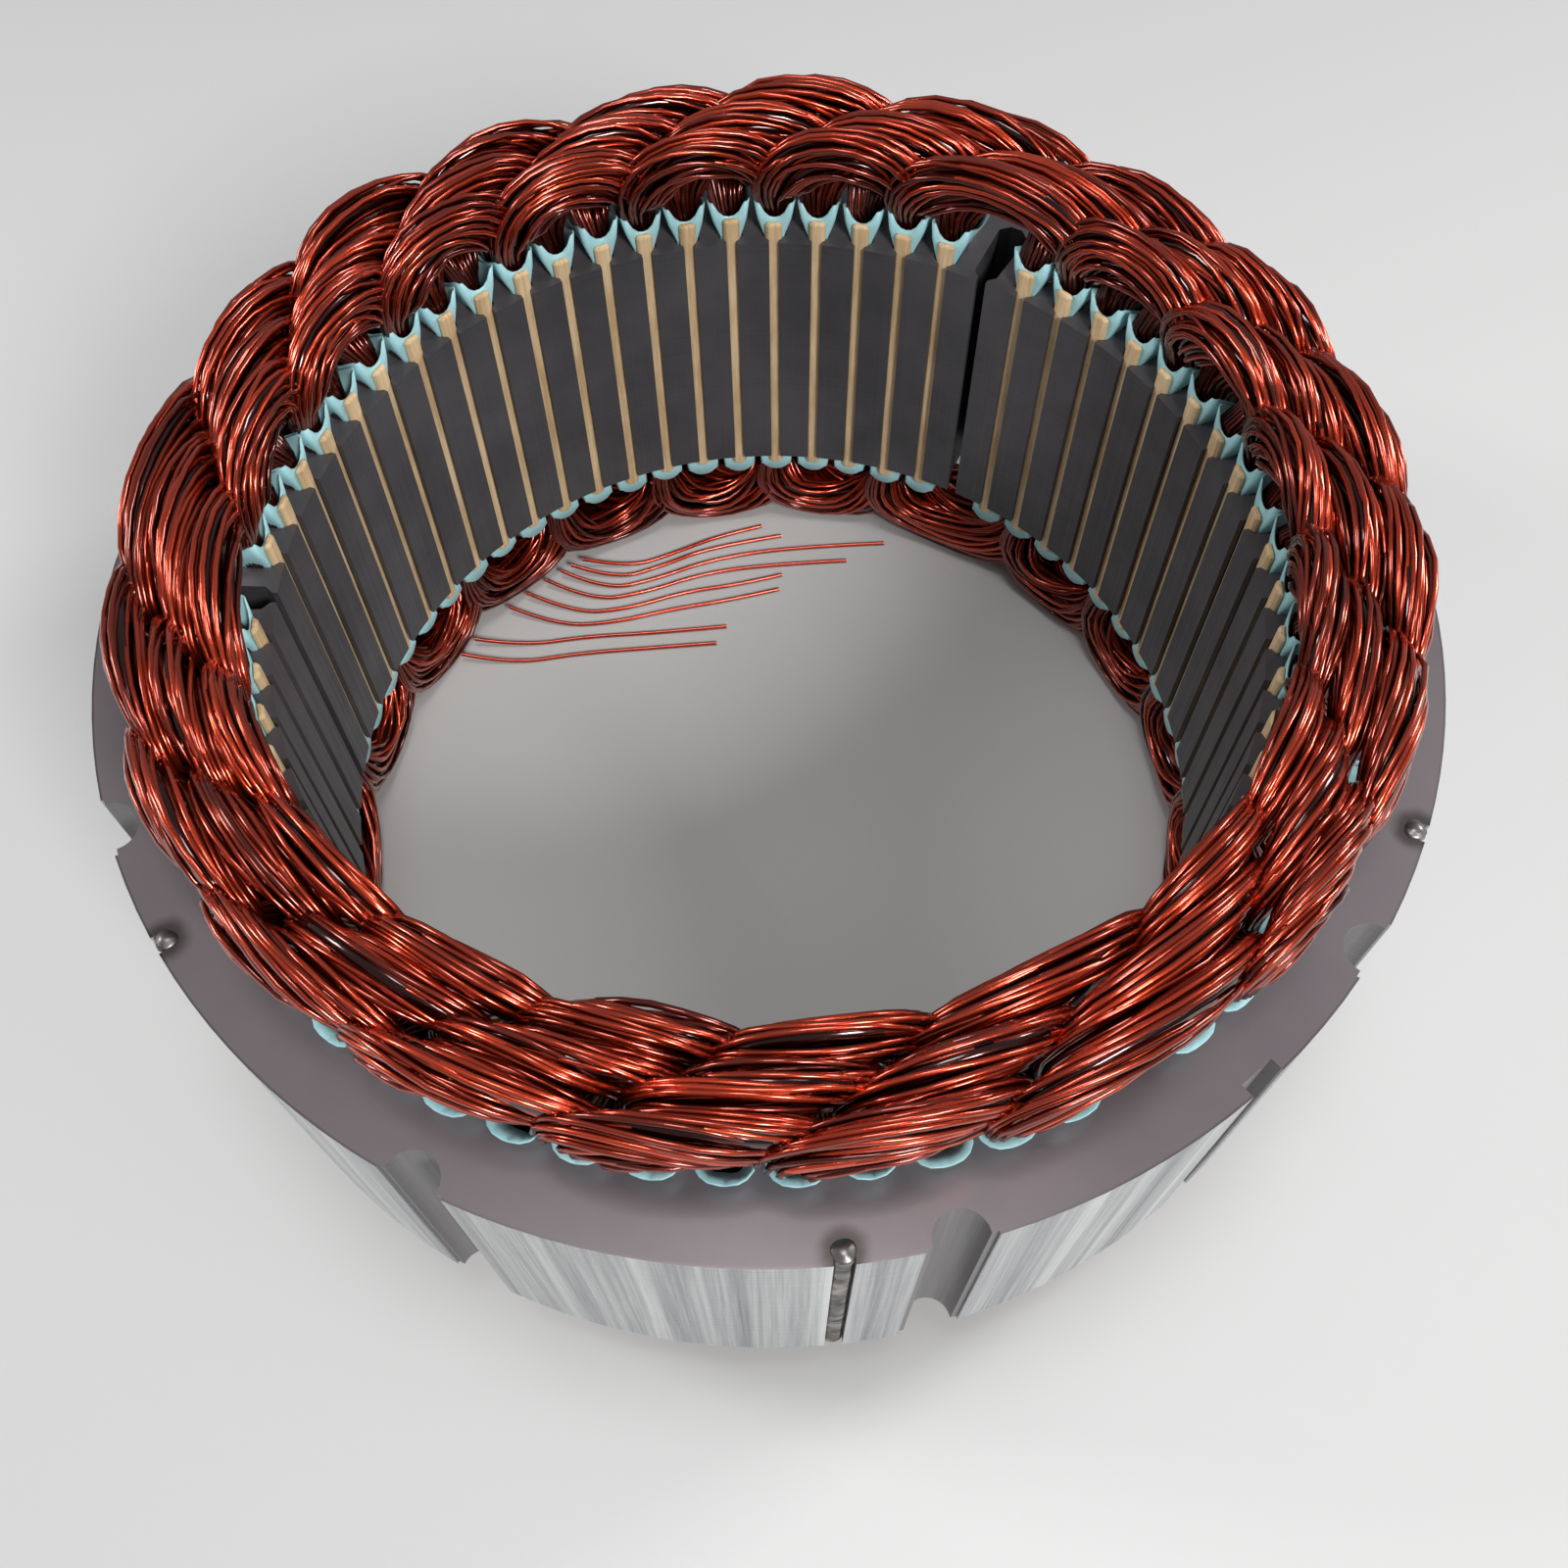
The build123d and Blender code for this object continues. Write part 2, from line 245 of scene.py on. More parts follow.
def core_material():
    """Laminated steel: satin faces with painted shade on the tooth tips, dark bore, bright turned outside
    with streaks, lamination lines and painted broad bands of reflection.
    """
    nodes = Nodes("laminated_steel")
    coordinates = nodes.add("ShaderNodeTexCoord")
    split = nodes.add("ShaderNodeSeparateXYZ", {0: coordinates.outputs["Object"]})
    x, y, z = split.outputs
    geometry = nodes.add("ShaderNodeNewGeometry")
    normal = nodes.add("ShaderNodeSeparateXYZ", {0: geometry.outputs["True Normal"]})
    flat = nodes.math("GREATER_THAN", nodes.math("ABSOLUTE", normal.outputs[2]), 0.9)
    squares = nodes.math("ADD", nodes.math("MULTIPLY", x, x), nodes.math("MULTIPLY", y, y))
    radius = nodes.math("SQRT", squares)
    outer = nodes.math("GREATER_THAN", radius, (core_radius - 0.45) * MM)
    angle = nodes.math("ARCTAN2", y, x)
    around = nodes.math("MULTIPLY", angle, 30.0)
    upwards = nodes.math("MULTIPLY", z, 2.2)
    turned = nodes.add("ShaderNodeCombineXYZ", {0: around, 1: upwards, 2: 0.0})
    streaks = nodes.noise(turned.outputs[0], 4.5, 6, 0.72)
    patches = nodes.noise(nodes.place(), 28, 4, 0.6)
    by_height = nodes.add("ShaderNodeCombineXYZ", {0: 0.0, 1: 0.0, 2: z})
    laminations = nodes.noise(by_height.outputs[0], 1100, 2, 0.6)
    face_colour = nodes.mix(patches, (0.14, 0.117, 0.126), (0.205, 0.178, 0.188))
    # Painted reflection: broad bright and dark bands around the outside, mixed below with real turning
    # streaks and lamination lines
    wide = nodes.add("ShaderNodeCombineXYZ", {0: nodes.math("MULTIPLY", angle, 5.0)})
    bands = nodes.noise(wide.outputs[0], 3.0, 2)
    bright = nodes.math("ADD", nodes.math("MULTIPLY", streaks, 0.35), nodes.math("MULTIPLY", bands, 0.65))
    lines = nodes.math("MULTIPLY", nodes.math("SUBTRACT", laminations, 0.5), 0.22)
    bright = nodes.math("ADD", bright, lines)
    outer_colour = nodes.mix(nodes.span(bright, 0.3, 0.7), (0.22, 0.23, 0.25), (0.80, 0.81, 0.81))
    faint_lines = nodes.math("MULTIPLY", laminations, 0.25)
    worn = nodes.math("ADD", faint_lines, nodes.math("MULTIPLY", patches, 0.75))
    # Painted shade: the face darkens towards the bore, on the tooth tips between the cups
    tooth_tip_painted_shade = nodes.span(radius, (bore_radius + 1) * MM, (bore_radius + 8) * MM, 0.4, 1.0)
    face_colour = nodes.mix(tooth_tip_painted_shade, (0.02, 0.02, 0.022), face_colour)
    bore_colour = nodes.mix(nodes.span(worn, 0.3, 0.7), (0.055, 0.053, 0.058), (0.1, 0.096, 0.106))
    notch_colour = nodes.mix(laminations, (0.16, 0.15, 0.155), (0.26, 0.25, 0.255))
    yoke = nodes.math("GREATER_THAN", radius, (core_radius - 14) * MM)
    wall_colour = nodes.mix(yoke, bore_colour, notch_colour)
    side_colour = nodes.mix(outer, wall_colour, outer_colour)
    colour = nodes.mix(flat, side_colour, face_colour)
    folded = nodes.add(
        "ShaderNodeMath",
        {
            0: nodes.math("SUBTRACT", angle, radians(weld_angle)),
            1: radians(180 / weld_count),
            2: -radians(180 / weld_count),
        },
        operation="WRAP",
    ).outputs[0]
    aside = nodes.math("MULTIPLY", nodes.math("SINE", folded), radius)
    outwards = nodes.math("MULTIPLY", nodes.math("COSINE", folded), radius)
    outwards = nodes.math("SUBTRACT", outwards, (core_radius - heat_centre_inset) * MM)
    aside_square = nodes.math("MULTIPLY", aside, aside)
    squares = nodes.math("ADD", aside_square, nodes.math("MULTIPLY", outwards, outwards))
    ragged = nodes.math("MULTIPLY", nodes.noise(nodes.place(), 300, 2), 0.0016)
    distance = nodes.math("ADD", nodes.math("SQRT", squares), ragged)
    heat = nodes.span(distance, heat_start * MM, heat_end * MM, 0.85, 0.0)
    colour = nodes.mix(nodes.math("MULTIPLY", heat, flat), colour, (0.035, 0.026, 0.022))
    nodes.set(Base_Color=colour)
    metallic = nodes.math("ADD", 0.35, nodes.math("MULTIPLY", outer, 0.5), True)
    nodes.set(Metallic=metallic)
    upright_side = nodes.math("SUBTRACT", 1.0, flat)
    unturned = nodes.math("MULTIPLY", nodes.math("SUBTRACT", 1.0, outer), 0.15)
    rough_side = nodes.math("ADD", nodes.span(streaks, 0.3, 0.7, 0.5, 0.3), unturned)
    rough_side = nodes.math("MULTIPLY", upright_side, rough_side)
    roughness = nodes.math("ADD", nodes.math("MULTIPLY", flat, 0.32), rough_side)
    nodes.set(Roughness=roughness)
    relief = nodes.math("ADD", 0.15, nodes.math("MULTIPLY", outer, 0.85))
    height = nodes.math("MULTIPLY", laminations, relief)
    height = nodes.math("MULTIPLY", height, upright_side)
    nodes.bump(height, 0.00015, 0.5)
    return nodes.material


def weld_material():
    """Weld bead: rippled bright metal, darkened by heat in places."""
    nodes = Nodes("weld_metal")
    patches = nodes.noise(nodes.place(), 160, 3)
    colour = nodes.mix(nodes.span(patches, 0.35, 0.7), (0.10, 0.09, 0.085), (0.42, 0.40, 0.39))
    nodes.set(Base_Color=colour, Metallic=0.8, Roughness=0.34)
    waves = {"Vector": nodes.place(), "Scale": 160.0, "Distortion": 2.0}
    ripple = nodes.add("ShaderNodeTexWave", waves, bands_direction="Z")
    nodes.bump(ripple.outputs["Fac"], 0.0004, 0.7)
    return nodes.material


def liner_material():
    """Pale blue insulating sheet with a matt fibrous face."""
    nodes = Nodes("liner_sheet")
    patches = nodes.noise(nodes.place(), 60, 3)
    fibres = nodes.noise(nodes.place((1, 1, 0.2)), 1500, 2)
    colour = nodes.mix(patches, (0.34, 0.66, 0.71), (0.52, 0.84, 0.87))
    nodes.set(Base_Color=colour, Roughness=0.36)
    nodes.shader.inputs["Subsurface Weight"].default_value = 0.08
    nodes.shader.inputs["Subsurface Scale"].default_value = 0.001
    nodes.bump(fibres, 0.00005, 0.5)
    return nodes.material


def wedge_material():
    """Tan wedge strip with a grain along its length."""
    nodes = Nodes("wedge_strip")
    grain = nodes.noise(nodes.place((1, 1, 0.06)), 1100, 4, 0.65)
    patches = nodes.noise(nodes.place(), 45, 3)
    amount = nodes.math("ADD", nodes.math("MULTIPLY", grain, 0.55), nodes.math("MULTIPLY", patches, 0.45))
    colour = nodes.mix(nodes.span(amount, 0.3, 0.7), (0.54, 0.35, 0.17), (0.90, 0.67, 0.41))
    nodes.set(Base_Color=colour, Roughness=0.62)
    nodes.bump(grain, 0.00012, 0.6)
    return nodes.material


copper = copper_material("winding_copper")
lead_copper = copper_material("free_end_copper", 0.5)
steel = core_material()
weld = weld_material()
sheet = liner_material()
wood = wedge_material()
for material_slot in frame["nodes"]["stator_core"].material_slots:
    material_slot.material = steel

# Free wire ends: route in mm, as in the CAD source, and real length in mm
lead_diameter = 1.2
leads = (
    (58.1, ((-57.2, 91.4, 3.5), (-43, 90, 0.65), (-29, 95.5, 0.65), (-15, 102, 0.65), (-2, 105.4, 0.65))),
    (
        102.6,
        (
            (-63.5, 87.1, 3.5),
            (-50, 81.5, 0.65),
            (-35, 85.5, 0.65),
            (-17, 93, 0.65),
            (8, 97, 0.65),
            (36, 98, 0.65),
        ),
    ),
    (67.5, ((-60.5, 89.2, 3.5), (-47, 85.5, 0.65), (-33, 90.5, 0.65), (-18, 97.5, 0.65), (4, 101.5, 0.65))),
    (
        94.8,
        (
            (-68, 83.7, 3.5),
            (-54, 77.5, 0.65),
            (-38, 80.5, 0.65),
            (-20, 87.5, 0.65),
            (2, 90.5, 0.65),
            (24, 91.5, 0.65),
        ),
    ),
    (
        80.2,
        (
            (-73.5, 78.9, 3.5),
            (-59, 73, 0.65),
            (-43, 74.5, 0.65),
            (-26, 80.5, 0.65),
            (-9, 83, 0.65),
            (4, 86.5, 0.65),
        ),
    ),
    (
        83.8,
        (
            (-78.5, 73.9, 3.5),
            (-64, 68.5, 0.65),
            (-47, 69.5, 0.65),
            (-30, 74, 0.65),
            (-13, 77, 0.65),
            (3, 81, 0.65),
        ),
    ),
    (75.6, ((-88, 62.3, 3.5), (-74, 61.5, 0.65), (-55, 64.5, 0.65), (-34, 65.5, 0.65), (-13, 67.5, 0.65))),
    (76.2, ((-91.5, 57, 3.5), (-77, 55, 0.65), (-57, 58.5, 0.65), (-36, 60, 0.65), (-16, 61.5, 0.65))),
)
for number, (length, route) in enumerate(leads, start=1):
    curve = bpy.data.curves.new(f"free_end_{number}", "CURVE")
    curve.dimensions = "3D"
    curve.bevel_depth = lead_diameter / 2 * MM
    curve.bevel_resolution = 3
    curve.resolution_u = 16
    curve.use_fill_caps = True
    spline = curve.splines.new("NURBS")
    spline.points.add(len(route) - 1)
    for point, place in zip(spline.points, route):
        point.co = (*(Vector(place) * MM), 1)
    spline.order_u = 3
    spline.use_endpoint_u = True
    curve.materials.append(lead_copper)
    lead = bpy.data.objects.new(f"free_end_{number}", curve)
    bpy.context.scene.collection.objects.link(lead)
    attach(lead, "root")
    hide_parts(f"lead_wire_{number}")


# End turns as bundles of single wires, in mm. Heights are above the core's face.
root_start = -4.0  # first point of a wire, inside its slot
root_top = 6.4  # the wires stand straight up to here
low_peak = 18.5  # top of the lowest and of the highest wire
high_peak = 30.3
arch_powers = (0.8, 0.58)  # roundness of the lowest and of the highest wire
slot_half_width = 2.2  # half width of a coil side in the slot, in the cup and above it
cup_half_width = 4.2
fan_half_width = 6.3
belly_half = 3.8  # half depth of a bundle at its middle and near its legs
leg_half = 1.8
inner_side = 115.2  # radius of the two coil sides in a slot
outer_side = 122.8
side_half_depth = 2.9
root_blend = (7.5, 15.0)
mean_radius = 118.0  # at which widths along the circumference are measured
# The wires deep in a bundle are drawn as a few thick tubes, up and across in its section, in the darkest
# copper colour as painted shade
filling_places = np.array(((-0.5, 0), (0, 0), (0.62, 0)))
leg_filling = 0.9  # radius of a filling tube at its legs
belly_filling = 0.9  # how much more radius it has at its middle
tier_margin = 0.9  # from the bore's radius out to the first tier


def smooth(x):
    """A step from 0 to 1 with smooth ends."""
    x = np.clip(x, 0, 1)
    return x * x * (3 - 2 * x)


def bundle_places(count):
    """Places of the wires in a bundle's section, from -1 to 1 up and across: a rim and a middle."""
    rim = int(count * 0.68)
    inside = count - rim
    places = []
    for index in range(rim):
        angle = tau * index / rim
        places.append((sin(angle), cos(angle)))
    for index in range(inside):
        angle = 2.4 * index
        reach = 0.78 * ((index + 0.5) / inside) ** 0.5
        places.append((reach * sin(angle), reach * cos(angle)))
    return np.array(places)


def side_places(places):
    """Places in the slot's coil side: rows across the slot in the order of the section."""
    order = np.argsort(places[:, 1])
    columns = np.linspace(-1, 1, 7)
    result = np.zeros_like(places)
    groups = np.array_split(order, len(columns))
    for column, group in zip(columns, groups):
        ranked = group[np.argsort(places[group, 0])]
        result[ranked, 1] = column
        result[ranked, 0] = np.linspace(-1, 1, len(ranked))
    return result


arch = np.sin(np.linspace(0, pi, path_points))
# Painted shade: the wires are darker towards their legs, where they stand down in the cups
leg_painted_shade = 0.1 + 0.9 * smooth(arch / 0.75)
filling_radius = (leg_filling + belly_filling * arch)[:, None]
section = bundle_places(wires_per_turn)
section_in_slot = side_places(section)
section = np.concatenate((section, filling_places))
section_in_slot = np.concatenate((section_in_slot, filling_places))


def turn_paths(phase, slot, pitches, upper):
    """Centre lines of one end turn's wires and then of its filling: wire, point and coordinate."""
    inner = tier_inner + phase * (tier_depth + tier_gap)
    first_layer = inner + (0.3 if phase == 0 else -1.3) + leg_half + wire_radius
    second_layer = inner + tier_depth - leg_half - wire_radius
    middle = inner + tier_depth / 2
    span = radians(pitches * slot_pitch)
    angle = chance.uniform(-0.25, 0.25)
    lift = chance.uniform(-1.2, 0.3)
    twist = chance.uniform(0.2, 1.0 + 0.3 * phase)
    wander = chance.normal(0, 1, (3, len(section), 2))
    wander[:, wires_per_turn:] = 0
    steps = np.linspace(0, 1, path_points - 2)
    phi = pi * (steps + smooth(steps)) / 2
    phi = np.concatenate(([0], phi, [pi]))
    along = phi / pi
    up = section[:, 0][:, None]
    out = section[:, 1][:, None]
    up_slot = section_in_slot[:, 0][:, None]
    out_slot = section_in_slot[:, 1][:, None]
    wave = np.sin(phi)[None, :]
    drift = wander[0][:, :, None] + wander[1][:, :, None] * np.cos(phi)
    drift = drift + wander[2][:, :, None] * np.cos(2 * phi)
    turn = twist * np.cos(phi)[None, :]
    p = up * np.cos(turn) - out * np.sin(turn) + 0.15 * drift[:, 0] * wave**0.7
    q = out * np.cos(turn) + up * np.sin(turn) + 0.17 * drift[:, 1] * wave**0.7
    p = np.clip(p, -1.05, 1.05)
    q = np.clip(q, -1.1, 1.1)
    belly = wave**1.3
    peak = (low_peak + high_peak + lift) / 2 + p * (high_peak + lift - low_peak) / 2
    power = arch_powers[0] + (arch_powers[1] - arch_powers[0]) * (p + 1) / 2
    if phase == 2:
        power = power * (1 - 0.3 * smooth(2 * along - 1))
    z = root_top + (peak - root_top) * wave**power
    z[:, 0] = root_start
    z[:, -1] = root_start
    free = smooth((z - 0.5) / 7)
    spread = up_slot * (1 - free) + p * free
    half_width = slot_half_width + (cup_half_width - slot_half_width) * smooth((z + 1) / 9)
    half_width += (fan_half_width - cup_half_width) * smooth((z - 8) / 8)
    s = -np.cos(phi)[None, :] * (span * mean_radius / 2 + spread * half_width)
    share = smooth((along - 0.12) / 0.76)[None, :]
    in_tier = first_layer * (1 - share) + second_layer * share
    in_tier = in_tier * (1 - belly) + (middle * 0.45 + in_tier * 0.55) * belly
    half_depth = leg_half * (1 - belly) + belly_half * belly
    below = np.clip(-p, 0, 1) * (0.35 + 0.6 * (q < 0) * (phase > 0))
    rounding = np.where(p > 0, np.sqrt(np.clip(1 - (0.88 * p) ** 2, 0.15, 1)), 1.0 + below)
    r_tier = in_tier + q * half_depth * (0.6 + 0.4 * rounding)
    side = np.where(along[None, :] < 0.5, inner_side, outer_side) + out_slot * side_half_depth
    loose = 1 - smooth((z - root_blend[0]) / (root_blend[1] - root_blend[0]))
    r = r_tier * (1 - loose) + side * loose
    r = np.maximum(r, bore_radius + tier_margin + wire_radius * 0.6)
    theta = radians(slot_angle(slot)) + radians(angle) * wave - span / 2 - s / mean_radius
    if upper:
        height = core_top + z
    else:
        height = core_bottom - z
    height = np.clip(height, wire_radius + 0.02, model_top - wire_radius - 0.02)
    return np.stack((r * np.cos(theta), r * np.sin(theta), height), axis=2)


def tubes(paths, sides, radius):
    """Points and faces of closed tubes along an array of paths."""
    count, steps = paths.shape[:2]
    tangent = np.gradient(paths, axis=1)
    tangent /= np.linalg.norm(tangent, axis=2, keepdims=True)
    radial = paths * np.array((1, 1, 0))
    radial /= np.linalg.norm(radial, axis=2, keepdims=True)
    first = radial - tangent * np.sum(radial * tangent, axis=2, keepdims=True)
    first /= np.linalg.norm(first, axis=2, keepdims=True)
    second = np.cross(tangent, first)
    rings = [
        paths + radius * (first * cos(tau * side / sides) + second * sin(tau * side / sides))
        for side in range(sides)
    ]
    points = np.stack(rings, axis=2).reshape(-1, 3)
    faces = []
    for wire in range(count):
        base = wire * steps * sides
        for step in range(steps - 1):
            for side in range(sides):
                a = base + step * sides + side
                b = base + step * sides + (side + 1) % sides
                faces.append((a, b, b + sides, a + sides))
        faces.append(tuple(base + side for side in reversed(range(sides))))
        faces.append(tuple(base + (steps - 1) * sides + side for side in range(sides)))
    return points, faces


def joined(parts):
    """One list of points and faces from several."""
    points, faces = [], []
    for more_points, more_faces in parts:
        base = len(points)
        points.extend(more_points)
        faces.extend(tuple(base + index for index in face) for face in more_faces)
    return points, faces


def store_tone_and_painted_shade(piece, shades):
    """Stores one value of tone and painted shade for each point of a piece."""
    attribute = piece.data.attributes.new("tone_and_painted_shade", "FLOAT", "POINT")
    attribute.data.foreach_set("value", shades.astype(np.float32))


wound_slots = [slot for slot in range(slot_count) if slot % sector_slots != 0]
for phase, name in enumerate(phase_names):
    phase_slots = wound_slots[phase::coil_pitch]
    for sector in range(slot_count // sector_slots):
        starts = [slot for slot in phase_slots if slot // sector_slots == sector]
        for upper in (True, False):
            end = "upper" if upper else "lower"
            paths = []
            for slot in starts:
                crosses_empty = (slot + coil_pitch) // sector_slots != sector
                paths.append(turn_paths(phase, slot, coil_pitch + crosses_empty, upper))
            outer_wires = np.concatenate([path[:wires_per_turn] for path in paths])
            filling = np.concatenate([path[wires_per_turn:] for path in paths])
            points, faces = joined((
                tubes(outer_wires, wire_sides, wire_radius),
                tubes(filling, wire_sides, filling_radius),
            ))
            piece = piece_from(
                f"{end}_bundles_{name}_{sector + 1}",
                points,
                faces,
                copper,
                [f"{end}_end_turns_{name}_{sector + 1}"],
            )
            # Painted highlight and shade: the side of a wire that faces out of its bundle is painted bright
            # and its flanks dark, on top of each wire's random tone
            middle_tube = wires_per_turn + 1
            bundle_shape = (wires_per_turn, path_points, 3)
            centres = np.concatenate([np.broadcast_to(path[middle_tube], bundle_shape) for path in paths])
            outward = outer_wires - centres
            outward /= np.maximum(np.linalg.norm(outward, axis=2, keepdims=True), 0.01)
            around = np.asarray(points[: outer_wires.size // 3 * wire_sides])
            around = around.reshape(*outer_wires.shape[:2], wire_sides, 3)
            facing = np.sum((around - outer_wires[:, :, None]) * outward[:, :, None], axis=3) / wire_radius
            shades = np.clip(chance.normal(0.62, 0.2, (len(outer_wires), 1, 1)), 0.15, 1)
            shades = shades * leg_painted_shade[None, :, None] * (0.12 + 0.88 * np.clip(facing, 0, 1))
            # Painted shade: the filling tubes get a value of nought, so they show the darkest copper colour
            store_tone_and_painted_shade(piece, np.concatenate((shades.ravel(), np.zeros(filling.size // 3 * wire_sides))))

    # Straight wires in the slots
    straight = []
    for slot in phase_slots:
        angle = radians(slot_angle(slot))
        for middle in (inner_side, outer_side):
            r = middle + section_in_slot[:wires_per_turn, 1] * side_half_depth
            s = section_in_slot[:wires_per_turn, 0] * slot_half_width
            x = r * cos(angle) - s * sin(angle)
            y = r * sin(angle) + s * cos(angle)
            low = np.full_like(x, core_bottom + 3.5)
            high = np.full_like(x, core_top - 3.5)
            straight.append(np.stack((np.stack((x, y, low), 1), np.stack((x, y, high), 1)), axis=1))
    straight = np.concatenate(straight)
    points, faces = tubes(straight, wire_sides, wire_radius)
    piece = piece_from(f"slot_wires_{name}", points, faces, copper, [f"slot_conductors_{name}"])
    store_tone_and_painted_shade(piece, np.full(len(points), 0.2))


def weld_bead(number):
    """One weld seam: a rippled bead along its groove, and a drop of metal at each end."""
    across_steps, rise_steps = 9, 150
    angle = radians(weld_angle + (number - 1) * 360 / weld_count)
    points, faces = [], []
    for step in range(rise_steps + 1):
        z = core_bottom + 0.1 + (core_top - core_bottom - 0.2) * step / rise_steps
        ripple = 0.16 * sin(tau * z / 1.7 + 1.3 * sin(z / 3.1 + number)) + 0.18 * sin(z / 5.3 + 2 * number)
        for index in range(across_steps):
            turn = pi * index / (across_steps - 1)
            side = -weld_half_width * cos(turn)
            out = weld_seat - 0.05 + (weld_crown - 0.2 + ripple) * sin(turn) ** 0.8
            points.append((out, side, z))
    for step in range(rise_steps):
        for index in range(across_steps - 1):
            a = step * across_steps + index
            faces.append((a, a + 1, a + across_steps + 1, a + across_steps))
    faces.append(tuple(range(across_steps)))
    faces.append(tuple(reversed(range(rise_steps * across_steps, (rise_steps + 1) * across_steps))))
    rings, sides = 9, 16
    for height, size in ((core_top - 0.7, 1.0), (core_bottom + 0.5, 0.8)):
        base = len(points)
        reach = 2.5 * size * chance.uniform(0.9, 1.05)
        for ring in range(1, rings):
            tilt = pi * ring / rings
            for side in range(sides):
                turn = tau * side / sides
                lump = 1 + 0.06 * sin(3 * turn + number)
                out = weld_drop_radius + reach * lump * sin(tilt) * cos(turn)
                out = min(out, core_radius - 0.15)
                points.append((out, reach * lump * sin(tilt) * sin(turn), height + 1.9 * size * cos(tilt)))
        for ring in range(rings - 2):
            for side in range(sides):
                after = (side + 1) % sides
                a = base + ring * sides
                faces.append((a + side, a + sides + side, a + sides + after, a + after))
        faces.append(tuple(base + side for side in range(sides)))
        faces.append(tuple(base + (rings - 2) * sides + side for side in reversed(range(sides))))
    points = [(x * cos(angle) - y * sin(angle), x * sin(angle) + y * cos(angle), z) for x, y, z in points]
    piece_from(f"weld_seam_{number}", points, faces, weld, [f"weld_bead_{number}"])


for number in range(1, weld_count + 1):
    weld_bead(number)


# Slot liners: a folded sheet whose cuffs stand out of the core and open like cups, in mm
liner_thickness = 0.35
liner_front = 110.7
liner_back = 128.4

# Wedges: radii of the front and back faces, and half widths there, in mm
wedge_front = 108.9
wedge_back = 110.4
wedge_front_half = 1.25
wedge_back_half = 2.1
wedge_bevel = 0.75


def liner_ring(front, back, front_half, back_half, corner):
    """Closed outline of a liner in plan, along +X: points and how much of a horn each carries."""
    tight = 0.26 * corner
    corners = (
        (front + tight, -front_half + tight, 180, tight, 1.0),
        (back - corner, -back_half + corner, 270, corner, 0.1),
        (back - corner, back_half - corner, 0, corner, 0.1),
        (front + tight, front_half - tight, 90, tight, 1.0),
    )
    arcs = []
    for x, y, start, radius, horn in corners:
        turns = [radians(start + 22.5 * step) for step in range(5)]
        arcs.append([(x + radius * cos(turn), y + radius * sin(turn), horn) for turn in turns])
    ring = []
    for arc, next_arc in zip(arcs, arcs[1:] + arcs[:1]):
        ring.extend(arc)
        (x, y, horn), (next_x, next_y, next_horn) = arc[-1], next_arc[0]
        for share in (0.17, 0.33, 0.5, 0.67, 0.83):
            if horn == next_horn:
                dip = horn * (abs(share - 0.5) / 0.5) ** 2.4
            else:
                dip = horn + (next_horn - horn) * smooth(share) - 0.75 * sin(pi * share)
            ring.append((x + (next_x - x) * share, y + (next_y - y) * share, dip))
    return ring


def liner(slot):
    """Points and faces of one slot's liner."""
    lift = chance.uniform(-0.6, 0.6)
    flare = chance.uniform(-0.4, 0.3)
    lean = chance.uniform(-0.35, 0.35)
    front = liner_front
    rim = liner_ring(front, 132.4 + flare / 2, 5.05 + flare / 3, 5.8 + flare, 4.6)
    # Each level: outline, height, how high its horns stand and how far it leans
    levels = (
        (liner_ring(front - 1.2, 129.3, 4.3, 4.6, 2.2), core_bottom - 7.7 - lift, 2.0, 0),
        (liner_ring(front - 0.3, 129.0, 4.5, 4.4, 2.2), core_bottom - 4.3, 0.5, 0),
        (liner_ring(front, liner_back, 2.55, 3.5, 2.0), core_bottom, 0, 0),
        (liner_ring(front, liner_back, 2.55, 3.5, 2.0), core_top, 0, 0),
        (liner_ring(front, 128.9, 3.1, 3.9, 2.4), core_top + 1.5, 0, 0.1),
        (liner_ring(front, 130.2, 4.2, 4.9, 3.4), core_top + 4.0, 0.8, 0.5),
        (rim, core_top + 5.6 + lift, 4.3, 1),
    )
    angle = radians(slot_angle(slot))
    points = []
    for ring, base, horn_height, leaning in levels:
        for x, y, horn in ring:
            side = y + lean * leaning
            height = base + horn * horn_height
            points.append((x * cos(angle) - side * sin(angle), x * sin(angle) + side * cos(angle), height))
    count = len(levels[0][0])
    faces = []
    for level in range(len(levels) - 1):
        for index in range(count):
            after = (index + 1) % count
            a = level * count
            faces.append((a + index, a + after, a + count + after, a + count + index))
    return points, faces


def wedge(slot):
    """Points and faces of one slot's wedge, with worn round ends."""
    upper = 5.6 + chance.uniform(-1.0, 0.9)
    lower = 4.2 + chance.uniform(-0.9, 0.8)
    skew = chance.uniform(-0.25, 0.25)
    shoulder = wedge_front + wedge_bevel
    middle = wedge_back - wedge_bevel
    outline = (
        (wedge_front, -wedge_front_half),
        (shoulder, -wedge_back_half),
        (wedge_back, -wedge_back_half),
        (wedge_back, wedge_back_half),
        (shoulder, wedge_back_half),
        (wedge_front, wedge_front_half),
    )
    levels = (
        (core_bottom - lower, 0.7),
        (core_bottom - lower + 0.8, 1),
        (core_top + upper - 0.8, 1),
        (core_top + upper, 0.7),
    )
    angle = radians(slot_angle(slot))
    points = []
    for z, share in levels:
        for x, y in outline:
            side = y * share + (skew if z > core_top else 0)
            out = middle + (x - wedge_back + wedge_bevel) * share
            points.append((out * cos(angle) - side * sin(angle), out * sin(angle) + side * cos(angle), z))
    count = len(outline)
    faces = [tuple(reversed(range(count))), tuple(range(3 * count, 4 * count))]
    for level in range(3):
        for index in range(count):
            after = (index + 1) % count
            a = level * count
            faces.append((a + index, a + after, a + count + after, a + count + index))
    return points, faces


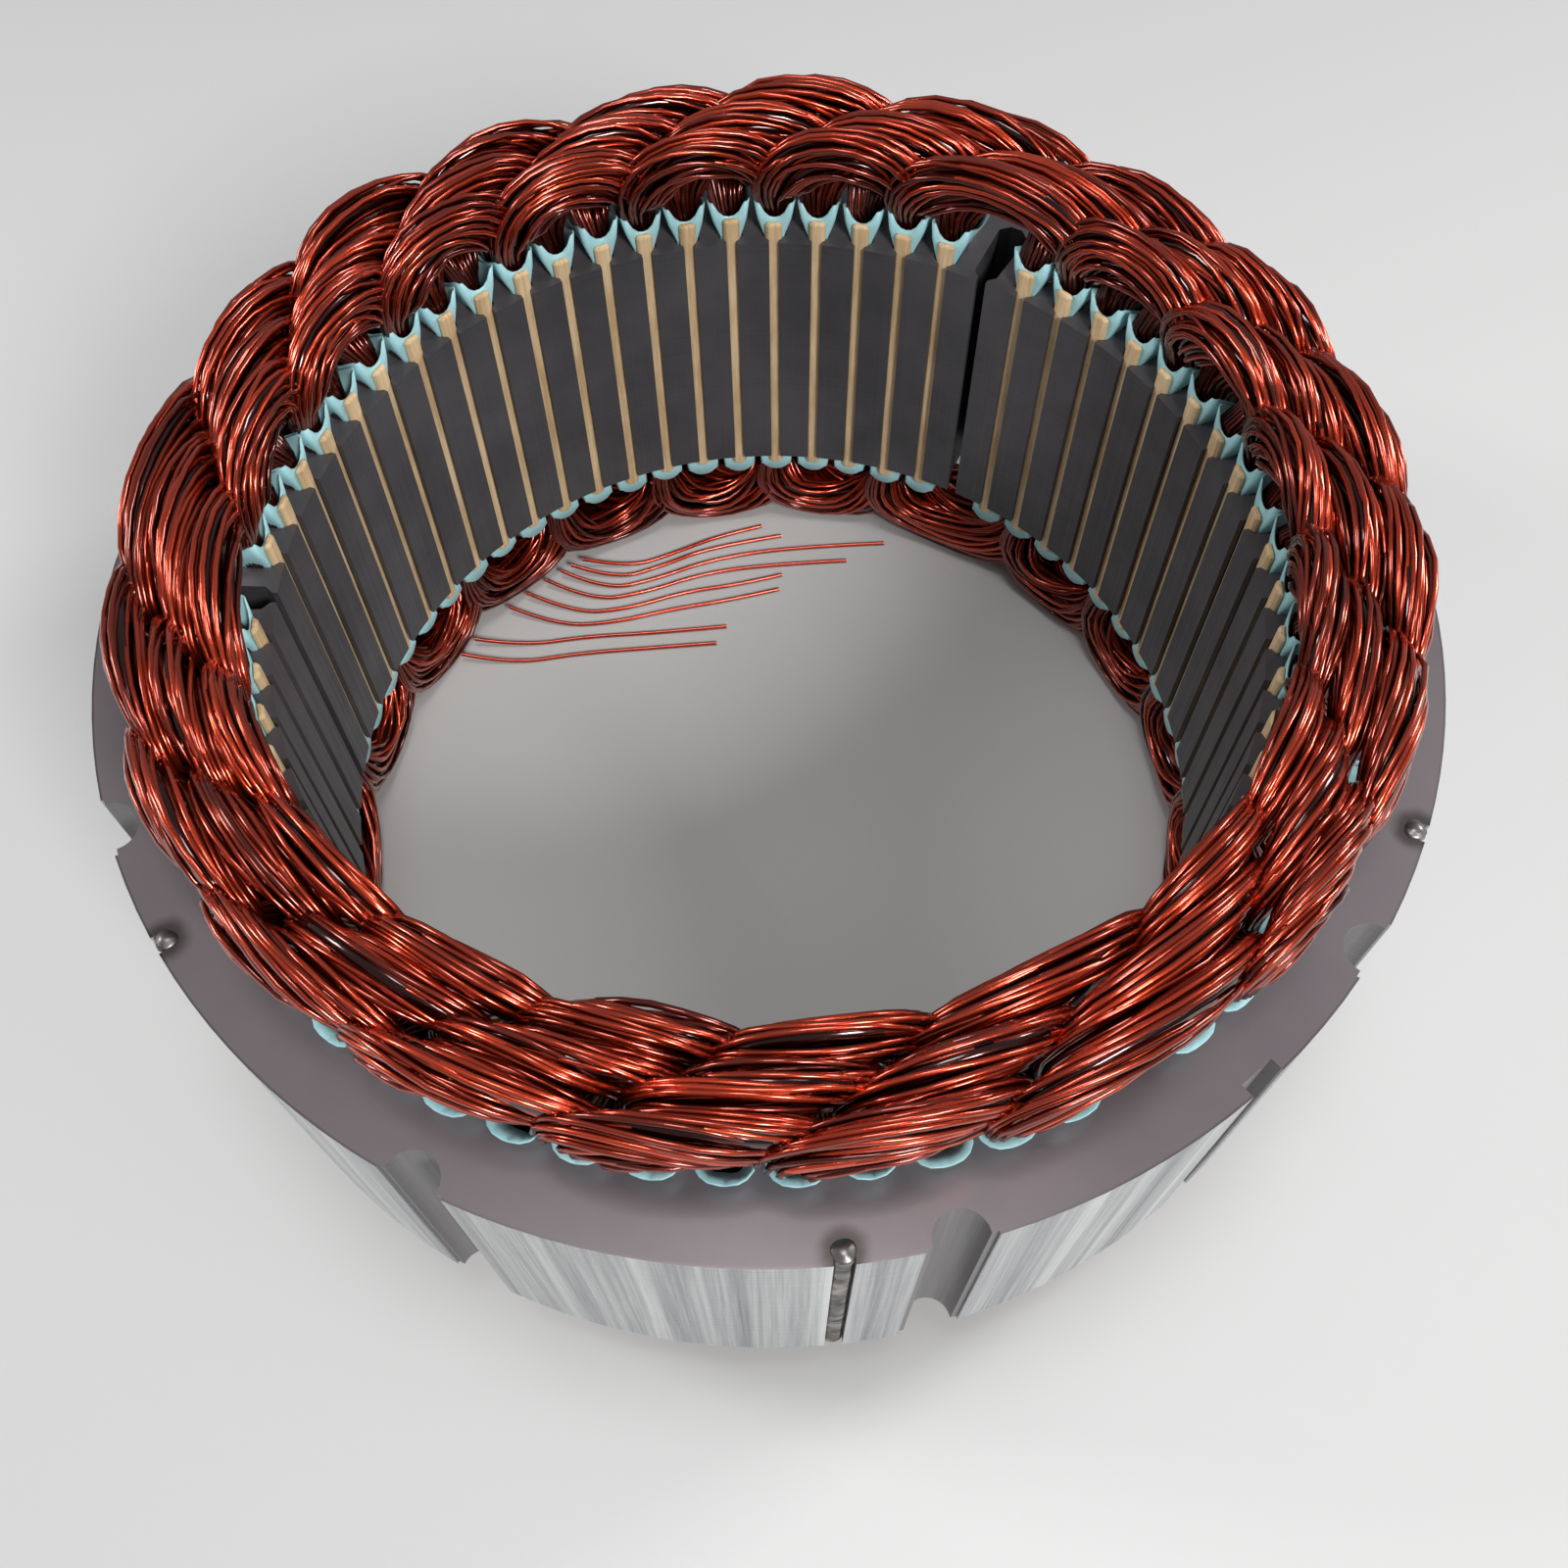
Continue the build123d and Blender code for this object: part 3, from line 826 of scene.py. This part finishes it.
for sector in range(slot_count // sector_slots):
    slots = range(sector * sector_slots + 1, (sector + 1) * sector_slots)
    points, faces = joined([liner(slot) for slot in slots])
    liners = piece_from(f"liner_cups_{sector + 1}", points, faces, sheet, [f"slot_liners_{sector + 1}"])
    solidify = liners.modifiers.new("sheet", "SOLIDIFY")
    solidify.thickness = liner_thickness * MM
    solidify.offset = 0
    points, faces = joined([wedge(slot) for slot in slots])
    wedges = piece_from(
        f"wedge_strips_{sector + 1}", points, faces, wood, [f"slot_wedges_{sector + 1}"], smooth=False
    )
    bevel = wedges.modifiers.new("worn_edges", "BEVEL")
    bevel.width = 0.25 * MM
    bevel.segments = 2


# Floor and light, in metres
floor_reach = 6.0


def floor_piece():
    """The plain pale floor that the stator stands on."""
    mesh = bpy.data.meshes.new("floor")
    signs = ((-1, -1), (1, -1), (1, 1), (-1, 1))
    corners = [(floor_reach * x, floor_reach * y, 0) for x, y in signs]
    mesh.from_pydata(corners, [], [(0, 1, 2, 3)])
    nodes = Nodes("pale_floor")
    nodes.set(Base_Color=(0.62, 0.62, 0.61), Roughness=0.6)
    mesh.materials.append(nodes.material)
    floor = bpy.data.objects.new("floor", mesh)
    bpy.context.scene.collection.objects.link(floor)
    floor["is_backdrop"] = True


floor_piece()


def lamp(name, place, size, power, target=(0, 0, 0.08)):
    """A square lamp that points at the target."""
    data = bpy.data.lights.new(name, "AREA")
    data.size = size
    data.energy = power
    light = bpy.data.objects.new(name, data)
    bpy.context.scene.collection.objects.link(light)
    light.location = place
    light.rotation_euler = (Vector(target) - Vector(place)).to_track_quat("-Z", "Y").to_euler()


lamp("lamp_left", (-0.95, 0.15, 0.75), 0.25, 3.9)
lamp("lamp_right", (0.9, 0.35, 0.85), 0.25, 4.6)
lamp("lamp_front", (0.45, -0.85, 0.92), 0.3, 10.5)
lamp("lamp_top", (0.0, -0.1, 1.6), 0.4, 5.5)
world = bpy.data.worlds.new("soft_surroundings")
world.use_nodes = True
world.node_tree.nodes["Background"].inputs[0].default_value = (0.95, 0.97, 1, 1)
world.node_tree.nodes["Background"].inputs[1].default_value = 0.28
bpy.context.scene.world = world
bpy.context.scene.view_settings.view_transform = "Standard"

low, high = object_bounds()
